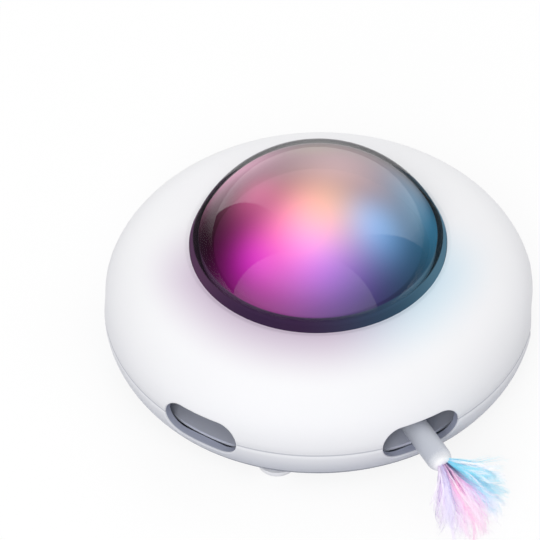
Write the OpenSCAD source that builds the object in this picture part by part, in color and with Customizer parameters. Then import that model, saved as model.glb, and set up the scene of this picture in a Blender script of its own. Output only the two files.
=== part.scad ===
// Automatic cat feather toy: a low round body with six side slots and a lit dome.
// A geared carrier inside swings a feather wand out of one slot after another.
// Millimetres, floor at Z = 0, body axis on Z, the wand standing out along +X.

/* [Body] */
// Diameter of the body at the seam
body_d = 185; // [170:1:210]
// Height of the seam above the floor
seam_z = 20; // [19:0.5:22]
// Rise of the upper shell's curve above the seam
upper_h = 38.4; // [37:0.1:40]
// Squareness of the upper shell's curve
upper_n = 2.4; // [2.3:0.1:2.6]
// Drop of the base's curve below the seam, as if it ran on to a point
lower_h = 44; // [40:1:60]
// Squareness of the base's curve
lower_n = 2.15; // [2:0.05:2.5]
// Wall of both shells
wall = 2.2; // [1.8:0.1:2.6]
// Bevel that draws the seam line
seam_bevel = 0.4; // [0.2:0.1:0.8]
// Height of the locating lip above the seam
lip_h = 1.6; // [1:0.2:2.4]
// Thickness of the locating lip
lip_t = 1.2; // [0.8:0.1:1.6]

/* [Slots] */
// Number of slots round the body
slot_count = 6; // [6]
// Width of a slot
slot_w = 35; // [34:0.5:38]
// Height of a slot
slot_h = 17; // [16.5:0.5:18]
// Depth of the tunnel behind a slot
slot_depth = 5.5; // [5:0.5:7]
// Wall of the tunnel
slot_wall = 1.8; // [1.4:0.1:2.2]

/* [Dome] */
// Distance of the dome's rim outside the motor under it
rim_margin = 10.2; // [9:0.2:12]
// Height of the dome's rim
rim_h = 2.3; // [2:0.1:3.5]
// Depth of the rim's underside below the shell beside it
rim_sink = 1; // [0.8:0.1:1.6]
// Step from the rim in to the cap
rim_step = 0.3; // [0.2:0.1:0.5]
// Height of the cap above the rim
cap_h = 37; // [32:0.2:40]
// Wall of the dome
dome_wall = 2.2; // [1.8:0.1:3]
// Height of the thick band round the foot of the cap
band_h = 3; // [2:0.2:4]
// Length of the snap collar under the rim
collar_h = 4.3; // [4:0.1:5]
// Thickness of the gasket under the rim
gasket_t = 0.8; // [0.6:0.1:1.2]
// Depth of the shell's dish beside the rim
dish_d = 0.5; // [0.3:0.1:0.8]
// Width of that dish
dish_w = 2; // [1.5:0.5:4]

/* [Wand] */
// Outer diameter of the tube
tube_d = 10.5; // [9:0.1:10.6]
// Wall of the tube
tube_wall = 1.5; // [1:0.1:1.8]
// Length of the wand outside the body
wand_out = 17.5; // [12:0.5:20]
// Length of the rounded plug at the tube's end
plug_h = 5; // [4:0.5:7]
// Length of the feather from the plug outwards
feather_l = 31; // [24:1:34]
// Width of the feather
feather_w = 31; // [22:1:36]
// Drop of the feather's tip
feather_drop = 14; // [8:0.5:15]
// Thickness of the feather as a share of its width
feather_flat = 0.42; // [0.3:0.02:0.5]
// Diameter of the feather's quill
quill_d = 1.8; // [1.2:0.1:2.4]

/* [Drive] */
// Gear module
gear_m = 1; // [0.9:0.02:1]
// Teeth of the fixed sun gear
sun_teeth = 18; // [18]
// Teeth of the idler gear
idler_teeth = 12; // [12]
// Teeth of the planet gear that turns the wand
planet_teeth = 15; // [15]
// Teeth round the carrier
carrier_teeth = 70; // [70:1:74]
// Teeth of the motor's pinion
pinion_teeth = 10; // [10]
// Thickness of the gears
gear_t = 3; // [2.5:0.1:3.2]
// Play between meshing teeth
backlash = 0.24; // [0.2:0.02:0.3]
// Diameter of the geared motor
motor_d = 24; // [20:0.5:25]
// Height of the geared motor
motor_h = 13; // [11:0.5:13.5]
// Offset of the motor's shaft from its centre
motor_offset = 8; // [7:0.5:9]
// Diameter of the motor's shaft
shaft_d = 3; // [2:0.1:4]
// Diameter of the post that the carrier turns on
post_d = 10; // [9:0.5:11]
// Wall of the carrier's bush
bush_wall = 1.5; // [1:0.1:2]
// Diameter of the wand's journal
journal_d = 5; // [4.5:0.1:5.5]
// Diameter of the keyed ends that carry the sun and planet gears
key_d = 6; // [5.6:0.1:6.4]

/* [Inside] */
// Thickness of the chassis plate
chassis_t = 2; // [1.6:0.1:2.4]
// Distance of the chassis plate's edge inside the body's
chassis_inset = 20.5; // [18:0.5:22]
// Thickness of the deck under the wand
deck_t = 1.5; // [1.2:0.1:1.6]
// Length of the battery
battery_l = 50; // [40:1:60]
// Width of the battery
battery_w = 34; // [25:1:40]
// Thickness of the battery
battery_t = 4.8; // [4:0.1:5]
// Length of the main board
board_l = 44; // [42:1:50]
// Width of the main board
board_w = 26; // [22:1:28]
// Thickness of both circuit boards
board_t = 1.2; // [0.8:0.1:1.6]
// Distance of the light board's edge inside the dome's rim
light_inset = 10.2; // [9.4:0.2:12]
// Height of the light diffuser
diffuser_h = 24; // [18:0.5:28]
// Wall of the light diffuser
diffuser_wall = 1.5; // [1:0.1:2]
// Number of lights
light_count = 8; // [4:1:10]

/* [Feet and fittings] */
// Height of the feet below the base
foot_h = 3.5; // [3:0.1:4]
// Diameter of a foot
foot_d = 17; // [14:0.5:18]
// Distance of the feet's middles inside the body's edge
foot_inset = 12.5; // [12:0.5:15]
// Direction of the first foot
foot_start = -40; // [-44:1:-38]
// Distance of the shell screws inside the body's edge
post_inset = 13.5; // [12.5:0.5:15]
// Diameter of the shell screws
shell_screw_d = 3; // [2.5:0.1:3.2]
// Diameter of the small screws
small_screw_d = 2.4; // [2:0.1:2.6]
// Direction of the charging port and the power button
port_dir = 150; // [146:1:154]
// Travel of the power button
button_travel = 0.8; // [0.5:0.1:1]
// Diameter of the power button
button_d = 5; // [4.6:0.1:5.2]

/* [Clearances] */
// Radial play of a running fit
run_gap = 0.05; // [0.03:0.01:0.08]
// Play of a fixed fit
fit_gap = 0.15; // [0.1:0.01:0.25]
// Gap between pieces that must not touch
free_gap = 0.4; // [0.3:0.05:0.5]

/* [Hidden] */
$fn = 64;

// Colours
white = "#f2f3f6";
grey = "#8f939c";
dark = "#33363c";
steel = "#b9bcc2";
brass = "#c9a552";
gear_white = "#e6e2d6";

// Body
body_r = body_d / 2;
curve_steps = 26;
base_z = foot_h;
floor_z = base_z + wall;
edge_round = 1.6;
lip_out_r = body_r - wall - fit_gap;
lip_root = 3;
envelope_skin = 0.8;
foot_ring = body_r - foot_inset;
post_ring = body_r - post_inset;
chassis_r = body_r - chassis_inset;

// Slots
tunnel_r = body_r - slot_depth;
slot_pitch = 360 / slot_count;

// Places of the motor and its pinion
pinion_ring = gear_m * (carrier_teeth + pinion_teeth) / 2;
motor_ring = pinion_ring - motor_offset;

// Dome
rim_r = motor_ring + motor_d / 2 + rim_margin;
seat_r = rim_r + 2 * fit_gap;
rim_z = upper_z(seat_r + dish_w) - rim_sink;
light_r = rim_r - light_inset;
cap_r = rim_r - rim_step;
cap_z = rim_z + rim_h;
dome_radius = (cap_r * cap_r + cap_h * cap_h) / (2 * cap_h);
dome_centre = cap_z + cap_h - dome_radius;
rim_round = 0.6;
rim_floor = rim_h - rim_round - 0.3;
band_z = cap_z + band_h;
ledge_z = rim_z - gasket_t;
collar_r = rim_r - 4.5;
collar_t = 2.5;
ledge_r = collar_r + fit_gap;
bead = 0.7;
dish_steps = 4;

// Wand
wand_end = body_r + wand_out;
hub_z0 = seam_z - tube_d / 2 - fit_gap;
hub_z1 = seam_z + tube_d / 2 + 2 * fit_gap;
hub_r = tube_d / 2 + 1.75;
hub_flat = hub_r - 1;
spigot_d = tube_d - 2 * tube_wall - 2 * run_gap;
spigot_l = 16;
plug_hold = 8;
plug_lip = 0.6;
plug_steps = 8;
plume_steps = 14;
plume_sides = 16;

// Gear stack, from the wand upwards
pressure_angle = 20;
gear_z = hub_z1 + free_gap;
gear_top = gear_z + gear_t;
carrier_z = gear_top + free_gap;
carrier_top = carrier_z + gear_t;
wand_head_h = 1.6;
chassis_z = carrier_top + wand_head_h + 2 * free_gap;
chassis_top = chassis_z + chassis_t;
idler_ring = gear_m * (sun_teeth + idler_teeth) / 2;
arm = idler_ring + gear_m * (idler_teeth + planet_teeth) / 2;
tube_l = wand_end - plug_h - arm - hub_flat;
bush_d = post_d + 2 * run_gap + 2 * bush_wall;
boss_d = bush_d + 3;
relief_d = 10;
pin_d = 3;
pin_head_d = 5;
pin_head_h = 0.7;
sun_head_d = 5;
sun_head_h = 1.2;
sun_screw_d = 2.5;
sun_screw_l = 8;
wand_head_d = 7.4;
wand_screw_d = 2.2;
wand_screw_l = 7;

// Motor
ear_out = 4;
ear_ring = motor_d / 2 + ear_out;
ear_w = 6;
ear_t = 1.6;
pilot_wall = 2;
pilot_d = shaft_d + 2 * pilot_wall;
shaft_in = 4;
terminal_w = 4;
terminal_out = 3.5;

// Fixings
foot_count = 3;
foot_stem_d = 6.8;
foot_round = 2.4;
foot_steps = 5;
barb = 0.6;
boss_wall = 2.5;
post_dirs = [90, 210, 330];
boss_dirs = [30, 150, 270];
shell_head_d = shell_screw_d * 2;
shell_head_h = shell_screw_d * 0.8;
shell_head_z = floor_z + 1.4;
shell_post_d = shell_screw_d + 2 * boss_wall;
shell_screw_l = 22;
small_head_d = small_screw_d * 1.85;
small_head_h = small_screw_d * 0.6;
small_boss_d = small_screw_d + 4;
small_screw_l = 7;
chassis_boss_d = small_screw_d + 2 * boss_wall;
chassis_screw_l = 8;

// Deck, battery and lights
deck_top = hub_z0 - 4 * free_gap;
deck_z = deck_top - deck_t;
deck_r = tunnel_r - free_gap;
deck_screw_ring = 44;
deck_screw_l = 5;
pad_t = 0.4;
pad_inset = 3;
battery_tab = 3;
chassis_screw_ring = chassis_r - 8;
light_pillar_ring = light_r - 8;
light_z = chassis_top + motor_h + 1;
light_top = light_z + board_t;
light_margin = 18;
light_ring = light_r - light_margin;
light_size = 5;
light_h = 1.6;
diffuser_radius = (light_r * light_r + diffuser_h * diffuser_h) / (2 * diffuser_h);
diffuser_centre = light_top + diffuser_h - diffuser_radius;

// Rear window, port and button, in the frame turned to their direction
port_plane = body_r - 5;
panel_t = 2;
window_w = 40;
window_h = 6.4;
deck_notch_w = window_w + 2 * (wall + free_gap);
board_z = floor_z + 0.7;
board_top = board_z + board_t;
socket_w = 9;
socket_h = 3.2;
socket_l = 7.4;
socket_wall = 0.4;
socket_inset = 0.4;
socket_y = -9;
port_z = board_top + socket_h / 2;
board_x1 = port_plane - panel_t - 2.5;
board_x0 = board_x1 - board_w;
board_rests = [for (x = [board_x0 + 4, board_x1 - 5], s = [-1, 1]) [x, s * (board_l / 2 - 4)]];
board_screw_places = [board_rests[0], board_rests[1]];
board_screw_l = board_t + board_z - floor_z + 0.8;
chip_h = 2.2;
button_y = 12;
button_out = 0.9;
flange_t = 1.2;
flange_d = button_d + 1.2;
flange_x1 = port_plane - panel_t - fit_gap;
switch_l = 5;
switch_w = 6;
switch_x1 = flange_x1 - flange_t - button_travel - free_gap;
stem_d = 2;
stem_in = 1;
stem_room = stem_in + button_travel + free_gap;

// Blocks on the main board: place along and across it, length and width
chips = [[3, -13, 4, 6], [9, -21, 4, 6], [9, 14, 4, 6], [6, -3, 7, 7], [16, -1, 3, 4], [4, 8, 3, 3]];

// Leads, as points in the frame turned to the port
lead_d = 1.8;
lead_steps = 4;
lead_z = board_top + 1.4;
lead_rise = body_r - 8.5;
lead_over = chassis_top + 5.2;
lead_end = 3;
battery_y = chips[0][1] + chips[0][3] / 2;
battery_x = battery_w / 2;
battery_lead_z = floor_z + pad_t + battery_t / 2;
header_x = board_x0 + chips[0][0];
battery_route = [for (d = [0, 1, 2]) [battery_x + d * lead_end, battery_y, battery_lead_z],
    [(battery_x + header_x) / 2, battery_y + 2, battery_lead_z],
    for (d = [2, 1, 0]) [header_x - d * lead_end, battery_y, lead_z]];

// The two rising leads leave the board outwards and pass between the deck and the shell
function rising(chip, side) = let(x = board_x0 + chip[0] + chip[2], y = chip[1] + chip[3] / 2)
    [for (d = [0, 1, 2]) [x + d * lead_end, y, lead_z],
        [lead_rise - 2, y + side * 0.5, lead_z + 1.6], [lead_rise, y + side, deck_top + 1],
        [lead_rise, y + side * 1.5, seam_z], [lead_rise - 1.3, y + side * 1.5, seam_z + 8],
        [lead_rise - 4.8, y + side * 1.5, chassis_z], [lead_rise - 11.5, y + side, chassis_top + 2.8]];
terminal = [motor_ring * sin(port_dir) + motor_d / 2 + terminal_out, motor_ring * cos(port_dir),
    chassis_top + motor_h / 3 + terminal_w / 2];
motor_end = [for (d = [5, 3, 1.5, 0]) terminal + [d * lead_end, 0, 0]];
motor_route = let(up = rising(chips[1], 0))
    concat(up, [over(up[len(up) - 1], motor_end[0], 0.45, lead_over)], motor_end);
light_hole = [light_r - lead_end, 8, light_z];
light_route = let(up = rising(chips[2], 1), last = up[len(up) - 1])
    concat(up, [for (t = [0.45, 0.75, 0.92]) over(last, light_hole, t, lead_over + 2 * t * t)],
        [for (d = [1.25, 0.7, 0.4, 0]) light_hole - [0, 0, d * lead_end]]);

// Point a share t of the way from a to b, at the height z
function over(a, b, t, z) = [a[0] + (b[0] - a[0]) * t, a[1] + (b[1] - a[1]) * t, z];

// Superellipse points from the seam to the radius r_end, drawn in by inset
function upper_curve(inset, r_end) = let(
    r0 = body_r - inset,
    h0 = upper_h - inset,
    stop = acos(pow(r_end / r0, upper_n / 2)))
    [for (i = [0:curve_steps]) let(a = stop * i / curve_steps)
        [r0 * pow(cos(a), 2 / upper_n), seam_z + h0 * pow(sin(a), 2 / upper_n)]];

// Height of the upper shell's outer curve at the radius r
function upper_z(r) = seam_z + upper_h * pow(1 - pow(r / body_r, upper_n), 1 / upper_n);

// Radius of the base's curve at the height z, drawn in by inset
function lower_r(z, inset) =
    (body_r - inset) * pow(1 - pow((seam_z - z) / lower_h, lower_n), 1 / lower_n);

// Base points from the seam down to the height z_end
function lower_curve(inset, z_end) =
    [for (i = [0:curve_steps / 2]) let(z = seam_z + (z_end - seam_z) * 2 * i / curve_steps)
        [lower_r(z, inset), z]];

// Involute gear outline, with a tooth centred on the angle phase
function involute(a) = tan(a) * 180 / PI - a;
function tooth_half(teeth, r) = let(
    pitch_r = gear_m * teeth / 2,
    base_r = pitch_r * cos(pressure_angle),
    thin = backlash / 4 / pitch_r * 180 / PI)
    90 / teeth - thin + involute(pressure_angle) - involute(acos(min(1, base_r / max(r, base_r))));
function gear_outline(teeth, phase) = let(
    pitch_r = gear_m * teeth / 2,
    tip_r = pitch_r + 0.9 * gear_m,
    root_r = pitch_r - 1.25 * gear_m,
    base_r = max(pitch_r * cos(pressure_angle), root_r + 0.1 * gear_m),
    radii = [root_r, base_r, pitch_r, (pitch_r + tip_r) / 2, tip_r],
    relief = [0.8, 1, 1, 1, 1])
    [for (k = [0:teeth - 1]) let(mid = phase + 360 * k / teeth)
        each concat(
            [for (i = [0:4]) let(a = mid - relief[i] * tooth_half(teeth, radii[i]))
                radii[i] * [cos(a), sin(a)]],
            [for (i = [4:-1:0]) let(a = mid + relief[i] * tooth_half(teeth, radii[i]))
                radii[i] * [cos(a), sin(a)]])];

// Phases that put a tooth of one gear into a gap of the next
idler_phase = 180 + 180 / idler_teeth;
idler_share = (idler_phase % (360 / idler_teeth)) / (360 / idler_teeth);
planet_phase = 180 - (idler_share + 0.5) * 360 / planet_teeth;
carrier_phase = 90 + 180 / carrier_teeth;
pinion_phase = -90;

// Tube swept along hand-chosen points, each given as direction, radius and height
function polar(p) = [p[1] * cos(p[0]), p[1] * sin(p[0]), p[2]];
function unit(v) = v / norm(v);
function heading(points, i) =
    unit(points[min(i + 1, len(points) - 1)] - points[max(i - 1, 0)]);
function side_of(v) = unit(cross(v, abs(v[2]) > 0.8 ? [0.6, 0.8, 0] : [0, 0, 1]));
module swept_tube(points, d, sides) {
    rings = [for (i = [0:len(points) - 1]) let(
        f = heading(points, i),
        u = side_of(f),
        w = cross(f, u))
        [for (k = [0:sides - 1]) let(a = 360 * k / sides)
            points[i] + d / 2 * (u * cos(a) + w * sin(a))]];
    last = (len(points) - 1) * sides;
    polyhedron(
        points = [for (ring = rings) each ring],
        faces = concat(
            [[for (k = [0:sides - 1]) k]],
            [for (i = [0:len(points) - 2], k = [0:sides - 1]) let(
                a = i * sides + k,
                b = i * sides + (k + 1) % sides)
                each [[a, a + sides, b + sides], [a, b + sides, b]]],
            [[for (k = [sides - 1:-1:0]) last + k]]));
}

// Smoothly rounded route through the points, as a spline
function spline(p, steps) = [for (i = [0:len(p) - 2], s = [0:steps - 1]) let(
    t = s / steps,
    a = p[max(i - 1, 0)],
    b = p[i],
    c = p[i + 1],
    d = p[min(i + 2, len(p) - 1)])
    0.5 * (2 * b + (c - a) * t + (2 * a - 5 * b + 4 * c - d) * t * t + (3 * b - a - 3 * c + d) * t * t * t)];
function route(points, steps) = let(p = [for (q = points) polar(q)])
    concat(spline(p, steps), [p[len(p) - 1]]);

module place(dir, r, z) {
    rotate(dir) translate([r, 0, z]) children();
}

module stadium(w, h) {
    square([w - h, h], center = true);
    for (s = [-1, 1]) translate([s * (w - h) / 2, 0]) circle(d = h);
}

// Prism of a stadium that points outwards from x0 to x1 along the direction dir
module stadium_bar(dir, z, w, h, x0, x1) {
    rotate(dir) translate([x0, 0, z]) rotate([90, 0, 90]) linear_extrude(x1 - x0) stadium(w, h);
}

// Tunnels round the slots, grown by grow on every side
module slot_bars(grow, x0, x1) {
    for (k = [0:slot_count - 1])
        stadium_bar(k * slot_pitch, seam_z, slot_w + 2 * grow, slot_h + 2 * grow, x0, x1);
}

// Screw with its head's underside at Z = 0 and its shank pointing down
module pan_screw(d, head_d, head_h, length) {
    difference() {
        union() {
            cylinder(d = head_d, h = head_h);
            translate([0, 0, -length]) cylinder(d = d, h = length);
        }
        for (a = [0, 90]) rotate(a) translate([-head_d * 0.3, -head_d * 0.06, head_h * 0.5])
            cube([head_d * 0.6, head_d * 0.12, head_h]);
    }
}

// Countersunk screw with its flat head at Z = 0 and its shank pointing down
module flat_screw(d, head_d, head_h, length) {
    difference() {
        union() {
            translate([0, 0, -head_h]) cylinder(d1 = d, d2 = head_d, h = head_h);
            translate([0, 0, -length]) cylinder(d = d, h = length);
        }
        for (a = [0, 90]) rotate(a) translate([-head_d * 0.3, -head_d * 0.06, -head_h * 0.5])
            cube([head_d * 0.6, head_d * 0.12, head_h]);
    }
}

module flat_screw_hole(d, head_d, head_h, length) {
    translate([0, 0, -head_h]) cylinder(d1 = d, d2 = head_d, h = head_h);
    translate([0, 0, -length]) cylinder(d = d, h = length + 1);
}

// Round key with one flat, for the gears that must not slip
module key_section(d) {
    intersection() {
        circle(d = d);
        translate([-d / 2, -d / 2]) square([d * 0.85, d]);
    }
}

// Solid inside of the upper shell's outer curve, less a skin
module upper_envelope() {
    curve = upper_curve(envelope_skin, seat_r + wall);
    rotate_extrude() polygon(concat(curve, [[0, curve[curve_steps][1]], [0, seam_z]]));
}

// Solid inside of the base's outer curve, less the same skin
module base_envelope() {
    rotate_extrude() polygon(concat(
        lower_curve(envelope_skin, base_z + envelope_skin),
        [[0, base_z + envelope_skin], [0, seam_z]]));
}

module at_port(x, y, z) {
    rotate(port_dir) translate([x, y, z]) children();
}

module base_shell() color(white) difference() {
    union() {
        rotate_extrude() polygon(concat(
            [[body_r - wall, seam_z], [body_r - seam_bevel, seam_z]],
            [for (p = lower_curve(0, base_z + edge_round)) if (p[1] < seam_z - seam_bevel) p],
            [[lower_r(base_z, 0) - edge_round, base_z], [0, base_z], [0, floor_z],
                [lower_r(floor_z, wall) - edge_round, floor_z]],
            [for (i = [curve_steps / 2:-1:1]) lower_curve(wall, floor_z + edge_round)[i]]));
        // Locating lip, cut away at the tunnels
        difference() {
            rotate_extrude() polygon([
                [lip_out_r - lip_t, seam_z - lip_root], [body_r - wall / 2, seam_z - lip_root],
                [body_r - wall / 2, seam_z], [lip_out_r, seam_z],
                [lip_out_r, seam_z + lip_h], [lip_out_r - lip_t, seam_z + lip_h]]);
            slot_bars(slot_wall + free_gap, tunnel_r - 1, body_r + 1);
        }
        // Lower halves of the tunnels
        intersection() {
            slot_bars(slot_wall, tunnel_r, body_r + 1);
            base_envelope();
        }
        // Posts for the shell screws
        for (a = post_dirs) place(a, post_ring, floor_z)
            cylinder(d = shell_post_d, h = seam_z - floor_z);
        // Bosses under the deck and under the main board
        for (a = boss_dirs) place(a, deck_screw_ring, floor_z)
            cylinder(d = small_boss_d, h = deck_z - floor_z);
        for (p = board_rests) at_port(p[0], p[1], floor_z)
            cylinder(d = small_boss_d, h = board_z - floor_z);
        // Flat panel behind the rear window
        intersection() {
            stadium_bar(port_dir, port_z, window_w + 2 * wall, window_h + 2 * wall,
                port_plane - panel_t, body_r);
            base_envelope();
        }
    }
    slot_bars(0, tunnel_r - 1, body_r + 1);
    stadium_bar(port_dir, port_z, window_w, window_h, port_plane, body_r + 1);
    at_port(port_plane - panel_t - 1, socket_y, port_z) rotate([90, 0, 90])
        linear_extrude(panel_t + 2) stadium(socket_w + 2 * fit_gap, socket_h + 2 * fit_gap);
    at_port(port_plane - panel_t - 1, button_y, port_z) rotate([0, 90, 0])
        cylinder(d = button_d + 2 * run_gap, h = panel_t + 2);
    // Room for the button's flange and its travel
    at_port(switch_x1, button_y, port_z) rotate([0, 90, 0])
        cylinder(d = flange_d + 2 * fit_gap, h = port_plane - panel_t - switch_x1);
    for (a = post_dirs) place(a, post_ring, base_z - 1) {
        cylinder(d = shell_screw_d, h = seam_z);
        cylinder(d = shell_head_d + 2 * fit_gap, h = shell_head_z - base_z + 1);
    }
    for (a = boss_dirs) place(a, deck_screw_ring, floor_z) cylinder(d = small_screw_d, h = seam_z);
    for (p = board_screw_places) at_port(p[0], p[1], floor_z - 1)
        cylinder(d = small_screw_d, h = seam_z - floor_z);
    for (k = [0:foot_count - 1]) place(foot_start + k * 360 / foot_count, foot_ring, base_z - 1)
        cylinder(d = foot_stem_d, h = wall + 2);
}

module upper_shell() color(white) difference() {
    union() {
        rotate_extrude() polygon(concat(
            [[body_r - wall, seam_z], [body_r - seam_bevel, seam_z]],
            [for (p = upper_curve(0, seat_r + dish_w)) if (p[1] > seam_z + seam_bevel) p],
            [for (i = [1:dish_steps]) let(r = seat_r + dish_w * (1 - i / dish_steps))
                [r, upper_z(r) - dish_d * (1 - cos(180 * i / dish_steps)) / 2]],
            [[seat_r, ledge_z], [ledge_r, ledge_z], [ledge_r, ledge_z - wall],
                [seat_r + wall, ledge_z - wall]],
            [for (i = [curve_steps:-1:1]) upper_curve(wall, seat_r + wall)[i]]));
        intersection() {
            union() {
                // Upper halves of the tunnels
                slot_bars(slot_wall, tunnel_r, body_r + 1);
                // Bosses for the shell screws and for the chassis
                for (a = post_dirs) place(a, post_ring, seam_z) cylinder(d = shell_post_d, h = upper_h);
                for (a = boss_dirs) place(a, chassis_screw_ring, chassis_top)
                    cylinder(d = chassis_boss_d, h = upper_h);
            }
            upper_envelope();
        }
    }
    slot_bars(0, tunnel_r - 1, body_r + 1);
    for (a = post_dirs) place(a, post_ring, seam_z - 1)
        cylinder(d = shell_screw_d, h = shell_head_z + shell_screw_l - seam_z + 1);
    for (a = boss_dirs) place(a, chassis_screw_ring, chassis_top - 1)
        cylinder(d = small_screw_d, h = chassis_screw_l - chassis_t + 1);
}

module dome_lens() color("#3a2c46", 0.6) difference() {
    union() {
        intersection() {
            translate([0, 0, dome_centre]) sphere(r = dome_radius);
            translate([0, 0, cap_z - rim_round]) cylinder(r = rim_r, h = rim_round + cap_h + 1);
        }
        rotate_extrude() polygon([
            [collar_r - collar_t, rim_z - collar_h], [collar_r, rim_z - collar_h],
            [collar_r + bead, rim_z - collar_h + bead], [collar_r, ledge_z - wall - fit_gap],
            [collar_r, rim_z], [rim_r, rim_z], [rim_r, cap_z - rim_round],
            [rim_r - rim_round * 0.3, cap_z - rim_round * 0.3], [rim_r - rim_round, cap_z],
            [collar_r - collar_t, cap_z]]);
    }
    intersection() {
        translate([0, 0, dome_centre]) sphere(r = dome_radius - dome_wall);
        translate([0, 0, band_z]) cylinder(r = rim_r, h = cap_h);
    }
    translate([0, 0, rim_z + rim_floor]) cylinder(r = collar_r, h = band_z - rim_z - rim_floor + 0.5);
}

module dome_gasket() color(dark) translate([0, 0, ledge_z]) difference() {
    cylinder(r = rim_r, h = gasket_t);
    translate([0, 0, -1]) cylinder(r = ledge_r, h = gasket_t + 2);
}

module light_diffuser() color("#f3d9e6", 0.8) difference() {
    intersection() {
        translate([0, 0, diffuser_centre]) sphere(r = diffuser_radius);
        translate([0, 0, light_top]) cylinder(r = light_r, h = diffuser_h + 1);
    }
    translate([0, 0, diffuser_centre]) sphere(r = diffuser_radius - diffuser_wall);
}

module light_board() color("#e8e8e4") difference() {
    translate([0, 0, light_z]) cylinder(r = light_r, h = board_t);
    for (a = boss_dirs) place(a, light_pillar_ring, light_z - 1)
        cylinder(d = small_screw_d, h = board_t + 2);
}

module lights() color("#fff4d8") for (k = [0:light_count - 1])
    place((k + 0.5) * 360 / light_count, light_ring, light_top) difference() {
        translate([-light_size / 2, -light_size / 2, 0]) cube([light_size, light_size, light_h]);
        translate([0, 0, light_h / 2]) cylinder(d = light_size * 0.7, h = light_h);
    }

module light_board_screws() color(steel) for (a = boss_dirs) place(a, light_pillar_ring, light_top)
    pan_screw(small_screw_d, small_head_d, small_head_h, small_screw_l);

// Fixed plate over the wand, with the post that the carrier turns on and the light's pillars
module chassis() color(grey) difference() {
    union() {
        translate([0, 0, chassis_z]) cylinder(r = chassis_r, h = chassis_t);
        translate([0, 0, carrier_top + free_gap]) cylinder(d = boss_d, h = chassis_top - carrier_top - free_gap);
        translate([0, 0, gear_top]) cylinder(d = post_d, h = chassis_top - gear_top);
        translate([0, 0, gear_z + sun_head_h]) linear_extrude(chassis_top - gear_z - sun_head_h)
            key_section(key_d);
        for (a = boss_dirs) place(a, light_pillar_ring, chassis_z)
            cylinder(d = small_boss_d, h = light_z - chassis_z);
    }
    translate([0, 0, gear_z]) cylinder(d = sun_screw_d, h = sun_screw_l);
    for (a = boss_dirs) place(a, chassis_screw_ring, chassis_z - 1)
        cylinder(d = small_screw_d, h = chassis_t + 2);
    for (a = boss_dirs) place(a, light_pillar_ring, light_top - small_screw_l)
        cylinder(d = small_screw_d, h = small_screw_l);
    translate([0, pinion_ring, chassis_z - 1]) cylinder(d = pilot_d, h = chassis_t + 2);
    for (s = [-1, 1]) translate([s * ear_ring, motor_ring, chassis_z - 1])
        cylinder(d = small_screw_d, h = chassis_t + 2);
}

module chassis_screws() color(steel) for (a = boss_dirs) place(a, chassis_screw_ring, chassis_z)
    rotate([180, 0, 0]) pan_screw(small_screw_d, small_head_d, small_head_h, chassis_screw_l);

// Round geared motor with two ears, a pilot under its shaft and a terminal block
module gear_motor() color(steel) difference() {
    union() {
        translate([0, motor_ring, chassis_top]) cylinder(d = motor_d, h = motor_h);
        translate([-ear_ring, motor_ring - ear_w / 2, chassis_top]) cube([2 * ear_ring, ear_w, ear_t]);
        for (s = [-1, 1]) translate([s * ear_ring, motor_ring, chassis_top])
            cylinder(d = ear_w, h = ear_t);
        translate([0, pinion_ring, chassis_z]) cylinder(d = pilot_d, h = chassis_t);
        translate([0, motor_ring, chassis_top + motor_h / 3]) rotate(port_dir)
            translate([0, -terminal_w / 2, 0])
            cube([motor_d / 2 + terminal_out, terminal_w, terminal_w]);
    }
    translate([0, pinion_ring, chassis_z - 1])
        cylinder(d = shaft_d + 2 * run_gap, h = chassis_t + shaft_in + 1);
    for (s = [-1, 1]) translate([s * ear_ring, motor_ring, chassis_top - 1])
        cylinder(d = small_screw_d, h = ear_t + 2);
}

module motor_screws() color(steel) for (s = [-1, 1])
    translate([s * ear_ring, motor_ring, chassis_top + ear_t])
    pan_screw(small_screw_d, small_head_d, small_head_h, ear_t + chassis_t);

module sun_gear() color(gear_white) difference() {
    translate([0, 0, gear_z]) linear_extrude(gear_t) polygon(gear_outline(sun_teeth, 0));
    translate([0, 0, gear_z + sun_head_h]) linear_extrude(gear_t) key_section(key_d);
    translate([0, 0, gear_z]) rotate([180, 0, 0])
        flat_screw_hole(sun_screw_d, sun_head_d, sun_head_h, gear_t);
}

module sun_screw() color(steel) translate([0, 0, gear_z]) rotate([180, 0, 0])
    flat_screw(sun_screw_d, sun_head_d, sun_head_h, sun_screw_l);

// Smooth floor of the wand's chamber, over the battery and the main board
module deck() color(grey) difference() {
    translate([0, 0, deck_z]) cylinder(r = deck_r, h = deck_t);
    for (a = post_dirs) place(a, post_ring, deck_z - 1)
        cylinder(d = shell_post_d + 2 * free_gap, h = deck_t + 2);
    // Notch beside the rear panel, where the leads rise
    at_port(lead_rise - lead_d - 3 * free_gap, -deck_notch_w / 2, deck_z - 1)
        cube([body_r, deck_notch_w, deck_t + 2]);
    for (a = boss_dirs) place(a, deck_screw_ring, deck_top)
        flat_screw_hole(small_screw_d, small_head_d, deck_t * 0.8, deck_t + 1);
}

module deck_screws() color(steel) for (a = boss_dirs) place(a, deck_screw_ring, deck_top)
    flat_screw(small_screw_d, small_head_d, deck_t * 0.8, deck_screw_l);

module main_board() color("#2f6b4a") difference() {
    at_port(board_x0, -board_l / 2, board_z) cube([board_w, board_l, board_t]);
    for (p = board_screw_places) at_port(p[0], p[1], board_z - 1)
        cylinder(d = small_screw_d, h = board_t + 2);
}

module board_chips() color(dark) for (c = chips)
    at_port(board_x0 + c[0], c[1], board_top) cube([c[2], c[3], chip_h]);

module board_screws() color(steel) for (p = board_screw_places) at_port(p[0], p[1], board_top)
    pan_screw(small_screw_d, small_head_d, small_head_h, board_screw_l);

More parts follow.
